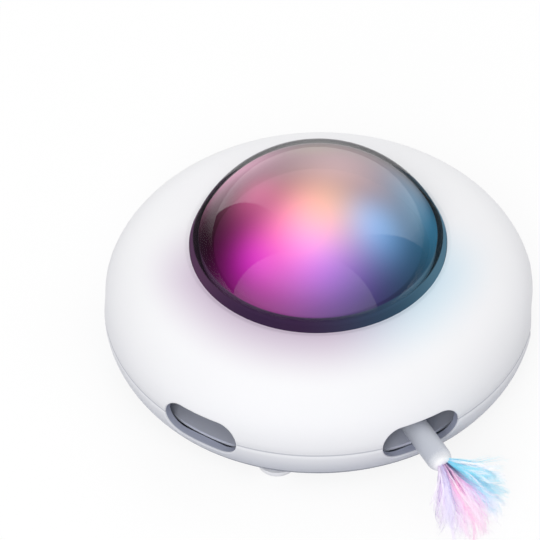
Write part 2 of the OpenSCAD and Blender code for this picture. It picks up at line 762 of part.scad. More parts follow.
module usb_socket() color(steel) at_port(port_plane - socket_inset - socket_l, socket_y, port_z)
    rotate([90, 0, 90]) difference() {
        linear_extrude(socket_l) stadium(socket_w, socket_h);
        translate([0, 0, 1]) linear_extrude(socket_l) difference() {
            stadium(socket_w - 2 * socket_wall, socket_h - 2 * socket_wall);
            square([socket_w * 0.7, socket_h * 0.2], center = true);
        }
    }

module button_switch() color(dark) difference() {
    at_port(switch_x1 - switch_l, button_y - switch_w / 2, board_top)
        cube([switch_l, switch_w, socket_h]);
    at_port(switch_x1 - stem_room, button_y, port_z) rotate([0, 90, 0])
        cylinder(d = stem_d + 2 * fit_gap, h = stem_room + 1);
}

module battery() color("#c9ccd2") at_port(-battery_w / 2, -battery_l / 2, floor_z + pad_t) difference() {
    union() {
        cube([battery_w, battery_l - battery_tab, battery_t]);
        translate([1, 0, 0.6]) cube([battery_w - 2, battery_l, battery_t - 1.2]);
    }
}

module battery_pad() color("#d8d2c0") at_port(pad_inset - battery_w / 2, pad_inset - battery_l / 2, floor_z)
    cube([battery_w - 2 * pad_inset, battery_l - 2 * pad_inset - battery_tab, pad_t]);

module shell_screws() color(steel) for (a = post_dirs) place(a, post_ring, shell_head_z)
    rotate([180, 0, 0]) pan_screw(shell_screw_d, shell_head_d, shell_head_h, shell_screw_l);

// Soft feet with a stem and a barb that snaps through the base
module feet() color("#d9dee4") for (k = [0:foot_count - 1])
    place(foot_start + k * 360 / foot_count, foot_ring, 0) rotate_extrude() polygon(concat(
        [[0, 0]],
        [for (i = [0:foot_steps]) let(a = -90 + 90 * i / foot_steps)
            [foot_d / 2 - foot_round + foot_round * cos(a), foot_round + foot_round * sin(a)]],
        [[foot_d / 2, base_z], [foot_stem_d / 2, base_z], [foot_stem_d / 2, floor_z],
            [foot_stem_d / 2 + barb, floor_z], [foot_stem_d / 2, floor_z + 2 * barb],
            [0, floor_z + 2 * barb]]));

module lead(points) {
    rotate(port_dir) swept_tube(concat(spline(points, lead_steps), [points[len(points) - 1]]), lead_d, 8);
}
module battery_lead() color("#b03030") lead(battery_route);
module motor_lead() color("#303a80") lead(motor_route);
module light_lead() color("#d8d8d8") lead(light_route);

// Toothed plate that the motor turns, with the idler's pin and the wand's journal in it
module carrier() color(gear_white) difference() {
    translate([0, 0, carrier_z]) linear_extrude(gear_t) polygon(gear_outline(carrier_teeth, carrier_phase));
    translate([0, 0, carrier_z - 1]) cylinder(d = bush_d, h = gear_t + 2);
    translate([idler_ring, 0, carrier_z - 1]) cylinder(d = pin_d, h = gear_t + 2);
    translate([arm, 0, carrier_z - 1]) cylinder(d = journal_d + 2 * run_gap, h = gear_t + 2);
    for (a = [90, 180, 270]) place(a, idler_ring + relief_d / 2, carrier_z - 1)
        cylinder(d = relief_d, h = gear_t + 2);
}

module carrier_bush() color(brass) translate([0, 0, gear_top + fit_gap]) difference() {
    cylinder(d = bush_d, h = carrier_top - gear_top);
    translate([0, 0, -1]) cylinder(d = post_d + 2 * run_gap, h = gear_t + 3);
}

module idler_pin() color(steel) translate([idler_ring, 0, gear_z]) {
    cylinder(d = pin_head_d, h = pin_head_h);
    cylinder(d = pin_d, h = carrier_top - gear_z);
}

module idler_gear() color(gear_white) translate([idler_ring, 0, gear_z]) difference() {
    linear_extrude(gear_t) polygon(gear_outline(idler_teeth, idler_phase));
    translate([0, 0, -1]) cylinder(d = pin_d + 2 * run_gap, h = gear_t + 2);
    translate([0, 0, -1]) cylinder(d = pin_head_d + 2 * fit_gap, h = pin_head_h + fit_gap + 1);
}

module planet_gear() color(gear_white) translate([arm, 0, gear_z]) difference() {
    linear_extrude(gear_t) polygon(gear_outline(planet_teeth, planet_phase));
    translate([0, 0, -1]) linear_extrude(gear_t + 2) key_section(key_d);
}

// Hub under the planet gear, with its keyed spindle and the spigot that holds the tube
module wand_hub() color(grey) translate([arm, 0, 0]) difference() {
    union() {
        difference() {
            translate([0, 0, hub_z0]) cylinder(r = hub_r, h = hub_z1 - hub_z0);
            translate([hub_flat, -hub_r, hub_z0 - 1]) cube([hub_r, 2 * hub_r, hub_z1 - hub_z0 + 2]);
        }
        translate([0, 0, seam_z]) rotate([0, 90, 0]) cylinder(d = spigot_d, h = hub_flat + spigot_l);
        translate([0, 0, seam_z]) cylinder(d = key_d + 2, h = gear_z - seam_z);
        translate([0, 0, seam_z]) linear_extrude(gear_top - seam_z) key_section(key_d);
        translate([0, 0, gear_top]) cylinder(d = journal_d, h = carrier_top + fit_gap - gear_top);
    }
    translate([0, 0, carrier_top + fit_gap - wand_screw_l])
        cylinder(d = wand_screw_d, h = wand_screw_l + 1);
}

module wand_screw() color(steel) translate([arm, 0, carrier_top + fit_gap])
    pan_screw(wand_screw_d, wand_head_d, wand_head_h, wand_screw_l);

module wand_tube() color(white) translate([arm + hub_flat, 0, seam_z]) rotate([0, 90, 0]) difference() {
    cylinder(d = tube_d, h = tube_l);
    translate([0, 0, -1]) cylinder(d = tube_d - 2 * tube_wall, h = tube_l + 2);
}

module feather_plug() color(white) translate([wand_end - plug_h, 0, seam_z]) rotate([0, 90, 0])
    rotate_extrude() polygon(concat(
        [[quill_d / 2, -plug_hold], [spigot_d / 2, -plug_hold], [spigot_d / 2, 0]],
        [for (i = [0:plug_steps]) let(a = 90 * i / plug_steps)
            [quill_d / 2 + plug_lip + (tube_d / 2 - quill_d / 2 - plug_lip) * cos(a), plug_h * sin(a)]],
        [[quill_d / 2, plug_h]]));

// Plume that droops from the plug, with its quill
function plume_half(t) = feather_w / 2 * 1.44 * pow(t, 0.8) * sqrt(1 - pow(t, 5));
function plume_centre(t) = [wand_end + feather_l * t, 0, seam_z - feather_drop * t * t];
module feather() color("#b9c8ee") {
    stations = [for (i = [0:plume_steps]) 0.03 + 0.94 * i / plume_steps];
    rings = [for (t = stations) [for (k = [0:plume_sides - 1]) let(a = 360 * k / plume_sides)
        plume_centre(t) + plume_half(t) * [0, cos(a), feather_flat * sin(a)]]];
    last = plume_steps * plume_sides;
    polyhedron(
        points = [for (ring = rings) each ring],
        faces = concat(
            [[for (k = [0:plume_sides - 1]) k]],
            [for (i = [0:plume_steps - 1], k = [0:plume_sides - 1]) let(
                a = i * plume_sides + k,
                b = i * plume_sides + (k + 1) % plume_sides)
                each [[a, a + plume_sides, b + plume_sides], [a, b + plume_sides, b]]],
            [[for (k = [plume_sides - 1:-1:0]) last + k]]));
    translate([wand_end - plug_h - plug_hold, 0, seam_z]) rotate([0, 90, 0])
        cylinder(d = quill_d, h = plug_h + plug_hold + feather_l * 0.2);
}

module drive_pinion() color(gear_white) translate([0, pinion_ring, carrier_z]) difference() {
    linear_extrude(gear_t) polygon(gear_outline(pinion_teeth, pinion_phase));
    translate([0, 0, -1]) cylinder(d = shaft_d, h = gear_t + 2);
}

module motor_shaft() color(steel) translate([0, pinion_ring, carrier_z])
    cylinder(d = shaft_d, h = chassis_top + shaft_in - fit_gap - carrier_z);

module power_button() color(grey) at_port(0, button_y, port_z) rotate([0, 90, 0]) {
    translate([0, 0, flange_x1 - flange_t]) cylinder(d = flange_d, h = flange_t);
    translate([0, 0, flange_x1]) cylinder(d = button_d, h = port_plane + button_out - flange_x1);
    translate([0, 0, switch_x1 - stem_in]) cylinder(d = stem_d, h = flange_x1 - switch_x1 + stem_in);
}

base_shell();
upper_shell();
dome_lens();
dome_gasket();
light_diffuser();
light_board();
lights();
light_board_screws();
chassis();
chassis_screws();
gear_motor();
motor_screws();
sun_gear();
sun_screw();
deck();
deck_screws();
main_board();
board_chips();
board_screws();
usb_socket();
button_switch();
battery();
battery_pad();
shell_screws();
feet();
battery_lead();
motor_lead();
light_lead();
carrier();
carrier_bush();
idler_pin();
idler_gear();
planet_gear();
wand_hub();
wand_screw();
wand_tube();
feather_plug();
feather();
drive_pinion();
motor_shaft();
power_button();
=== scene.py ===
"""Looks of the automatic cat feather toy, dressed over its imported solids, piece by piece."""
import math

import bmesh
import bpy
from mathutils import Matrix, Vector


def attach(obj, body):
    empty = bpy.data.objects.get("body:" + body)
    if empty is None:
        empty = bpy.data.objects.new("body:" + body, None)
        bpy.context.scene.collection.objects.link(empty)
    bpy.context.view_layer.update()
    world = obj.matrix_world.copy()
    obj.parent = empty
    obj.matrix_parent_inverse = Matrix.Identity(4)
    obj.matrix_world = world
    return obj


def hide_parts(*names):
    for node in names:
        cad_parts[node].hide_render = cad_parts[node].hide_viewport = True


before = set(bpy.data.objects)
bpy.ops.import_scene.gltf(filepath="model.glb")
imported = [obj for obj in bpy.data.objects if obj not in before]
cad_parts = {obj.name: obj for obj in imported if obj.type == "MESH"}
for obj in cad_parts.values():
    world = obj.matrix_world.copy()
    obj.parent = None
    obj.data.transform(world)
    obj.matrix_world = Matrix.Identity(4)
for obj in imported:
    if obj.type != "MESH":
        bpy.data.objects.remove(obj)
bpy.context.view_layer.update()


# Viewpoint: the picture looks down on the front slot from over a metre away, with a long lens.
# The camera leans a little, and it aims beside the body's axis, so the lens needs no shift.
mm = 0.001
view_side = math.radians(-26.8)
view_height = math.radians(44.8)
view_distance = 1200 * mm
view_lean = math.radians(-1.86)
body_middle = Vector((0, 0, 20 * mm))
aim_left = 21.2 * mm
aim_up = 11.0 * mm

camera = bpy.data.objects.new("camera", bpy.data.cameras.new("camera"))
bpy.context.scene.collection.objects.link(camera)
bpy.context.scene.camera = camera
camera.data.lens = 186
camera.data.sensor_width = 36
camera.data.clip_start = 0.05
camera.data.clip_end = 50
outwards = Vector((
    math.cos(view_height) * math.cos(view_side),
    math.cos(view_height) * math.sin(view_side),
    math.sin(view_height)))
eye = body_middle + outwards * view_distance
lean = Matrix.Rotation(view_lean, 4, "Z")
facing = (body_middle - eye).to_track_quat("-Z", "Y").to_matrix().to_4x4() @ lean
aim = body_middle - facing.col[0].to_3d() * aim_left + facing.col[1].to_3d() * aim_up
facing = (aim - eye).to_track_quat("-Z", "Y").to_matrix().to_4x4() @ lean
camera.matrix_world = Matrix.Translation(eye) @ facing


# Base shell: the lower half of the body, injection moulded in white ABS, with the lower halves of
# six slots. Its slot edges are rounded in the mould, and the slots are grey inside, partly from
# grey plastic and partly painted shade.
class Wire:
    """One socket of a node tree. Sums and products of wires add Math nodes to that tree."""

    def __init__(self, tree, socket=None):
        self.tree = tree
        self.socket = socket

    def node(self, kind, settings=None, sockets=None, out=0):
        """Adds a node, with its settings first and then the values or wires of its sockets."""
        made = self.tree.nodes.new(kind)
        for name, value in (settings or {}).items():
            if name == "stops":
                ramp = made.color_ramp.elements
                while len(ramp) < len(value):
                    ramp.new(0.5)
                for element, (place, colour) in zip(ramp, value):
                    element.position = place
                    element.color = colour
            else:
                setattr(made, name, value)
        for name, value in (sockets or {}).items():
            self.feed(made.inputs[name], value)
        return Wire(self.tree, made.outputs[out])

    def feed(self, socket, value):
        """Links a wire to a socket, or sets the socket's own value."""
        if isinstance(value, Wire):
            self.tree.links.new(value.socket, socket)
        else:
            socket.default_value = value

    def sum(self, operation, first, second):
        return self.node("ShaderNodeMath", {"operation": operation}, {0: first, 1: second})

    def __add__(self, other):
        return self.sum("ADD", self, other)

    def __radd__(self, other):
        return self.sum("ADD", other, self)

    def __sub__(self, other):
        return self.sum("SUBTRACT", self, other)

    def __rsub__(self, other):
        return self.sum("SUBTRACT", other, self)

    def __mul__(self, other):
        return self.sum("MULTIPLY", self, other)

    def __rmul__(self, other):
        return self.sum("MULTIPLY", other, self)

    def __truediv__(self, other):
        return self.sum("DIVIDE", self, other)

    def __rtruediv__(self, other):
        return self.sum("DIVIDE", other, self)

    def __pow__(self, other):
        return self.sum("POWER", self, other)

    def __rpow__(self, other):
        return self.sum("POWER", other, self)

    def ease(self, low, high):
        """0 below low, 1 above high, smooth between."""
        return self.node("ShaderNodeMapRange", {"interpolation_type": "SMOOTHSTEP"},
                         {"Value": self, "From Min": low, "From Max": high})

    def blend(self, first, second):
        """Mixes two colours by this wire."""
        return self.node("ShaderNodeMix", {"data_type": "RGBA"}, {0: self, 6: first, 7: second}, out=2)


def tone(hexed):
    """Linear colour of a six-figure screen colour."""
    parts = [int(hexed[i:i + 2], 16) / 255 for i in (0, 2, 4)]
    return [c / 12.92 if c < 0.04045 else ((c + 0.055) / 1.055) ** 2.4 for c in parts] + [1]


def new_finish(name):
    """Material with an empty principled shader: the material, its wires and the shader."""
    material = bpy.data.materials.new(name)
    material.use_nodes = True
    tree = material.node_tree
    tree.nodes.clear()
    surface = tree.nodes.new("ShaderNodeOutputMaterial")
    shader = tree.nodes.new("ShaderNodeBsdfPrincipled")
    tree.links.new(shader.outputs[0], surface.inputs[0])
    return material, Wire(tree), shader


def place_of(wire):
    """Object coordinates, and the three wires of their parts."""
    spot = wire.node("ShaderNodeTexCoord", out="Object")
    parts = [wire.node("ShaderNodeSeparateXYZ", {}, {0: spot}, out=i) for i in range(3)]
    return spot, *parts


def speckle(wire, spot, size, detail=3.0):
    """Noise from 0 to 1 whose blotches are about size metres across."""
    return wire.node("ShaderNodeTexNoise", {}, {
        "Vector": spot, "Scale": 1 / size, "Detail": detail, "Roughness": 0.55})


def grain_bump(wire, shader, height, distance):
    """Fine relief of a surface, distance deep."""
    bump = wire.node("ShaderNodeBump", {}, {"Height": height, "Distance": distance, "Strength": 1.0})
    wire.feed(shader.inputs["Normal"], bump)


def moulded(name, colour, rough, grain=0.5 * mm, depth=0.012 * mm, drift=0.06, **constants):
    """Moulded plastic or rubber: a faint drift of colour, uneven gloss and a fine spark grain."""
    material, wire, shader = new_finish(name)
    spot, x, y, z = place_of(wire)
    broad = speckle(wire, spot, 22 * mm)
    fine = speckle(wire, spot, grain, detail=2.0)
    pale = tone(colour)
    deep = [c * (1 - drift) for c in pale[:3]] + [1]
    wire.feed(shader.inputs["Base Color"], (broad * 0.7 + fine * 0.3).blend(deep, pale))
    wire.feed(shader.inputs["Roughness"], rough * 0.85 + broad * (rough * 0.2) + fine * (rough * 0.1))
    grain_bump(wire, shader, fine, depth)
    for socket, value in constants.items():
        shader.inputs[socket.replace("_", " ")].default_value = value
    return material


body_r = 92.5 * mm
seam_z = 20 * mm
base_z = 3.5 * mm
upper_rise, upper_power = 38.4 * mm, 2.4
lower_drop, lower_power = 44 * mm, 2.15
slot_wall_r = 80 * mm
dome_seat_r, painted_glow_reach = 53 * mm, 26 * mm
front_ahead, front_right = 0.893, 0.451


def off_front(x, y, r):
    """How far a place lies to the right of the front and ahead of the axis, as shares of r."""
    right = (x * front_right + y * front_ahead) / r
    ahead = (x * front_ahead - y * front_right) / r
    return right, ahead


def shell_r(z):
    """Radius of the body's outside at the height z."""
    if z >= seam_z:
        return body_r * (1 - ((z - seam_z) / upper_rise) ** upper_power) ** (1 / upper_power)
    return body_r * (1 - ((seam_z - z) / lower_drop) ** lower_power) ** (1 / lower_power)


def shell_finish(name, rise, power, side, dome_glow_painted=0.0):
    """White ABS outside, with painted shade and a painted glow from the dome by its seat, painted shade
    at the seam, along the hem and below the seam, and grey in the slots beneath the skin, partly grey
    plastic and partly painted shade.
    """
    material, wire, shader = new_finish(name)
    spot, x, y, z = place_of(wire)
    across = (x * x + y * y) ** 0.5
    rise_share = (z - seam_z) * (side / rise)
    up = wire.node("ShaderNodeClamp", {}, {0: rise_share, 1: 0.0, 2: 0.999})
    outside = (1 - up ** power) ** (1 / power) * body_r
    inside = (outside - across).ease(0.7 * mm, 0.9 * mm)
    in_slots = inside * (across - slot_wall_r).ease(0.0, 0.5 * mm)
    broad = speckle(wire, spot, 35 * mm)
    fine = speckle(wire, spot, 0.45 * mm, detail=2.0)
    white = (broad * 0.6 + fine * 0.4).blend(tone("f1f1f4"), tone("f7f7f8"))
    # Painted shade: the seam's groove is darkened as a shadow line between the two shells.
    seam = 1 - ((z - seam_z) * side).ease(0.15 * mm, 0.5 * mm)
    # Painted shade: a dark line along the base's outer bottom edge.
    hem = (1 - (z - base_z).ease(2.2 * mm, 4.2 * mm)) * (across - slot_wall_r).ease(0.0, 3 * mm)
    # Painted shade: the white turns greyer from just above the seam down to the bottom of the base.
    under = (seam_z - z).ease(-5 * mm, 18 * mm)
    # Painted glow and shade of the dome: towards the front, a pinkish tint on the left and a bluish one
    # on the right, darker than the white and fading out away from the dome's seat.
    right, ahead = off_front(x, y, body_r)
    glow_shade_tint = right.ease(0.0, 0.5).blend(tone("d5c6d8"), tone("d5e7f2"))
    glow_shade_share = (1 - (across - dome_seat_r).ease(0.0, painted_glow_reach)) * ahead.ease(-0.2, 0.3) * dome_glow_painted
    white = under.blend(glow_shade_share.blend(white, glow_shade_tint), tone("d2d5de"))
    shaded = (seam * 0.5).blend(hem.blend(white, tone("7f8494")), tone("8d929f"))
    # Grey in the slot tunnels: partly the grey plastic, partly painted shade.
    grey = broad.blend(tone("a5aabd"), tone("b0b5c7"))
    wire.feed(shader.inputs["Base Color"], in_slots.blend(shaded, grey))
    wire.feed(shader.inputs["Roughness"], 0.36 + broad * 0.06 + fine * 0.05 + in_slots * 0.15)
    grain_bump(wire, shader, fine, 0.006 * mm)
    shader.inputs["Specular IOR Level"].default_value = 0.15
    return material


slot_w, slot_h = 35 * mm, 17 * mm
slot_count = 6
slot_bends, slot_steps = 32, 5
lip_round = 0.8 * mm
lip_step = 0.05 * mm
lip_air = 0.6 * mm
lip_bends = 6
slope_step = 1e-5


def slot_outline():
    """Points of a slot's outline, across and up from its middle, with the directions outwards."""
    straight, end = (slot_w - slot_h) / 2, slot_h / 2
    points = []
    for side in (1, -1):
        turned = 0 if side > 0 else math.pi
        for i in range(slot_bends + 1):
            a = math.radians(-90 + 180 * i / slot_bends) + turned
            c, s = math.cos(a), math.sin(a)
            points.append((side * straight + end * c, end * s, c, s))
        for i in range(1, 2 * slot_steps):
            points.append((side * straight * (1 - i / slot_steps), side * end, 0, side))
    return points


def lip_section(across, up, away_y, away_z):
    """Section of the corner that a rounded slot edge leaves out, at one point of the outline."""
    z = seam_z + up
    r = shell_r(z)
    corner = Vector((math.sqrt(r * r - across * across), across, z))
    slope = (shell_r(z + slope_step) - shell_r(z - slope_step)) / (2 * slope_step)
    skin = Vector((corner.x / r, corner.y / r, -slope)).normalized()
    away = Vector((0, away_y, away_z))
    along = (away - skin * away.dot(skin)).normalized()
    start = corner + along * lip_round
    end = corner - Vector((lip_round, 0, 0))
    middle = corner - skin * lip_step + away * lip_step
    section = [start + skin * lip_air]
    for i in range(lip_bends + 1):
        t = i / lip_bends
        first = start - skin * lip_step
        last = end + away * lip_step
        section.append(first * (1 - t) ** 2 + middle * 2 * t * (1 - t) + last * t ** 2)
    section.append(end - away * lip_air)
    section.append(corner + skin * lip_air - away * lip_air)
    return section


def lip_cutters():
    """Six rings, one round each slot, that take the sharp edge off."""
    bm = bmesh.new()
    sections = [lip_section(*point) for point in slot_outline()]
    for k in range(slot_count):
        turn = Matrix.Rotation(math.tau * k / slot_count, 3, "Z")
        rings = [[bm.verts.new(turn @ p) for p in section] for section in sections]
        for i, ring in enumerate(rings):
            following = rings[(i + 1) % len(rings)]
            for j in range(len(ring)):
                n = (j + 1) % len(ring)
                bm.faces.new((ring[j], ring[n], following[n], following[j]))
    bmesh.ops.recalc_face_normals(bm, faces=bm.faces)
    mesh = bpy.data.meshes.new("lip_cutters")
    bm.to_mesh(mesh)
    bm.free()
    cutters = bpy.data.objects.new("lip_cutters", mesh)
    bpy.context.scene.collection.objects.link(cutters)
    return cutters


def settle(piece, sharp=32):
    """Turns a piece's live modifiers into a plain mesh, shaded smooth up to an angle."""
    graph = bpy.context.evaluated_depsgraph_get()
    mesh = bpy.data.meshes.new_from_object(piece.evaluated_get(graph))
    piece.modifiers.clear()
    piece.data = mesh
    mesh.name = piece.name
    mesh.shade_smooth()
    mesh.set_sharp_from_angle(angle=math.radians(sharp))


def rounded_shell(node, name, finish, cutters):
    """Copy of a shell's solid, joined up, with its slot edges rounded."""
    bm = bmesh.new()
    bm.from_mesh(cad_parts[node].data)
    bmesh.ops.remove_doubles(bm, verts=bm.verts, dist=0.003 * mm)
    bm.verts.index_update()
    mesh = bpy.data.meshes.new(name)
    mesh.from_pydata([v.co[:] for v in bm.verts], [], [[v.index for v in f.verts] for f in bm.faces])
    bm.free()
    shell = bpy.data.objects.new(name, mesh)
    bpy.context.scene.collection.objects.link(shell)
    mesh.materials.append(finish)
    cut = shell.modifiers.new("round the slots", "BOOLEAN")
    cut.operation = "DIFFERENCE"
    cut.solver = "EXACT"
    cut.object = cutters
    settle(shell)
    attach(shell, "housing")
    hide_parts(node)
    return shell


cutters = lip_cutters()
base_white = shell_finish("base_white", lower_drop, lower_power, -1)
rounded_shell("base_shell", "base_moulding", base_white, cutters)


# Feet: three soft silicone pads with a stem that snaps through the base. They are milky and a
# little tacky, so they stay matt.
def dress(finish, *nodes):
    """Gives CAD nodes a finish."""
    for node in nodes:
        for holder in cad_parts[node].material_slots:
            holder.material = finish


dress(moulded("silicone_milky", "fafafc", 0.5, grain=0.9 * mm, drift=0.04), "feet")


# Screws and turned pieces: zinc-plated steel heads with a faint turning mark, driven into the
# plastic bosses, and the brass bush that the carrier runs on.
def turned_metal(name, colour, rough):
    """Turned metal: fine streaks along the turning, and small dull patches."""
    material, wire, shader = new_finish(name)
    spot, x, y, z = place_of(wire)
    streaked = wire.node("ShaderNodeMapping", {}, {"Vector": spot, "Scale": (1, 1, 14)})
    streak = speckle(wire, streaked, 0.6 * mm, detail=4.0)
    patch = speckle(wire, spot, 3 * mm)
    pale = tone(colour)
    wire.feed(shader.inputs["Base Color"], (streak * 0.5 + patch * 0.5).blend(
        [c * 0.75 for c in pale[:3]] + [1], pale))
    wire.feed(shader.inputs["Roughness"], rough + patch * 0.12 + streak * 0.08)
    grain_bump(wire, shader, streak, 0.004 * mm)
    shader.inputs["Metallic"].default_value = 1.0
    return material


screw_steel = turned_metal("screw_steel", "c3c6cb", 0.24)
dress(screw_steel, "shell_screws", "deck_screws", "board_screws", "chassis_screws", "motor_screws",
      "light_board_screws", "sun_screw", "wand_screw", "idler_pin", "motor_shaft", "usb_socket")
dress(turned_metal("bush_brass", "cda75a", 0.22), "carrier_bush")


# Battery and its foam pad: a flat pouch cell in crinkled silver foil, stuck to the floor of the
# base with a strip of open foam.
def pouch_foil():
    """Silver foil with soft ripples and sharp creases."""
    material, wire, shader = new_finish("pouch_foil")
    spot, x, y, z = place_of(wire)
    crease = wire.node("ShaderNodeTexVoronoi", {"feature": "DISTANCE_TO_EDGE"},
                       {"Vector": spot, "Scale": 1 / (6 * mm)})
    ripple = speckle(wire, spot, 4 * mm)
    wire.feed(shader.inputs["Base Color"], ripple.blend(tone("a9adb4"), tone("d3d6da")))
    wire.feed(shader.inputs["Roughness"], 0.25 + ripple * 0.2)
    grain_bump(wire, shader, crease * 0.4 + ripple * 0.6, 0.15 * mm)
    shader.inputs["Metallic"].default_value = 0.85
    return material


def open_foam():
    """Cream foam with open pores."""
    material, wire, shader = new_finish("open_foam")
    spot, x, y, z = place_of(wire)
    pores = wire.node("ShaderNodeTexVoronoi", {}, {"Vector": spot, "Scale": 1 / (0.7 * mm)})
    wire.feed(shader.inputs["Base Color"], pores.blend(tone("efe9d8"), tone("b8b09a")))
    wire.feed(shader.inputs["Roughness"], 0.8 + pores * 0.2)
    grain_bump(wire, shader, 1 - pores, 0.2 * mm)
    return material


dress(pouch_foil(), "battery")
dress(open_foam(), "battery_pad")


# Main board and what stands on it: green solder mask over copper tracks, black moulded chips and
# switch, and the soft leads to the battery, the motor and the lights.
def circuit_board(name, mask, track, pitch):
    """Solder mask with raised tracks under it, and the woven glass showing faintly."""
    material, wire, shader = new_finish(name)
    spot, x, y, z = place_of(wire)
    tracks = wire.node("ShaderNodeTexBrick", {"offset": 0.35}, {
        "Vector": spot, "Scale": 1 / pitch, "Mortar Size": 0.05, "Brick Width": 1.7,
        "Color1": (1, 1, 1, 1), "Color2": (1, 1, 1, 1), "Mortar": (0, 0, 0, 1)}, out="Fac")
    weave = speckle(wire, spot, 0.8 * mm)
    wire.feed(shader.inputs["Base Color"], (tracks * 0.7 + weave * 0.2).blend(tone(mask), tone(track)))
    wire.feed(shader.inputs["Roughness"], 0.3 + weave * 0.15)
    grain_bump(wire, shader, tracks + weave * 0.2, 0.03 * mm)
    return material


dress(circuit_board("board_green", "1f5a3c", "3f8a5c", 3 * mm), "main_board")
dress(moulded("chip_black", "24262b", 0.5, grain=0.3 * mm, depth=0.02 * mm, drift=0.3),
      "board_chips", "button_switch")
dress(moulded("lead_red", "a8272b", 0.4, drift=0.15), "battery_lead")
dress(moulded("lead_blue", "2c3a86", 0.4, drift=0.15), "motor_lead")
dress(moulded("lead_white", "dcdcda", 0.4), "light_lead")


# Power button: a small white cap that slides in the rear panel and presses the switch behind it.
# It is moulded in the same white as the shells, a little glossier from use.
dress(moulded("button_white", "eceef2", 0.22, drift=0.04), "power_button")


# Deck and chassis: the grey ABS floor and ceiling of the chamber that the wand swings in. The
# deck is smooth because the feather drags over it.
inner_grey = moulded("inner_grey", "c9cddb", 0.42, grain=0.7 * mm, depth=0.02 * mm, drift=0.1)
dress(inner_grey, "deck", "chassis")


# Drive: a small can motor with its gearbox, and the off-white acetal gears that it turns. The
# gears are dry and slightly waxy.
dress(turned_metal("motor_can", "aeb2b8", 0.32), "gear_motor")
dress(moulded("acetal", "e4e0d2", 0.38, grain=0.4 * mm, drift=0.08, Subsurface_Weight=0.1,
              Subsurface_Scale=1 * mm),
      "sun_gear", "idler_gear", "planet_gear", "drive_pinion", "carrier", "wand_hub")


# Wand: a drawn white plastic tube that plugs onto the hub, closed by a rounded plug. The tube is
# satin grey, and the plug takes the same grey with a painted white highlight on its end.
dress(moulded("tube_satin", "c4c8d2", 0.36, grain=0.5 * mm, drift=0.05), "wand_tube")


plug_face_x, plug_face_r = 105.4 * mm, 3.2 * mm


def plug_finish():
    """Plug in the tube's grey, with a painted white highlight on the middle of its end."""
    material, wire, shader = new_finish("plug_painted_highlight")
    spot, x, y, z = place_of(wire)
    fine = speckle(wire, spot, 0.5 * mm, detail=2.0)
    off_axis = (y * y + (z - seam_z) * (z - seam_z)) ** 0.5
    edge = (off_axis - plug_face_r).ease(0.0, 1.8 * mm)
    # Painted highlight: white on the end of the plug, fading to the tube's grey at the shoulder and
    # towards the rim.
    end_highlight = (x - plug_face_x).ease(0.0, 2.2 * mm) * (1 - 0.7 * edge)
    wire.feed(shader.inputs["Base Color"], (end_highlight + fine * 0.05).blend(tone("c4c8d2"), tone("fafafb")))
    wire.feed(shader.inputs["Roughness"], 0.22 + fine * 0.1)
    grain_bump(wire, shader, fine, 0.008 * mm)
    return material


dress(plug_finish(), "feather_plug")


# Plume: dyed marabou barbs in sky blue, pink and lilac, with their quills glued into the plug.
# The barbs cling together in locks, fan out, hang under their own weight and carry finer barbules.
root = Vector((107.8, 0, 19.4)) * mm
root_half = 1.9 * mm
fan_middle, fan_half = math.radians(4), math.radians(44)
lock_count, lock_barbs = 125, 10
barb_joints = 11
barbule_share, barbule_joints = 4, 4
barb_reach, side_reach = 33.5 * mm, 22 * mm
barb_width, barbule_width = 0.085 * mm, 0.04 * mm
floor_gap = 0.7 * mm
blue_lean = 0.82
lock_sway, barb_sway = 0.11, 0.022
lock_lift, lock_ripple = 4.2 * mm, 0.6 * mm


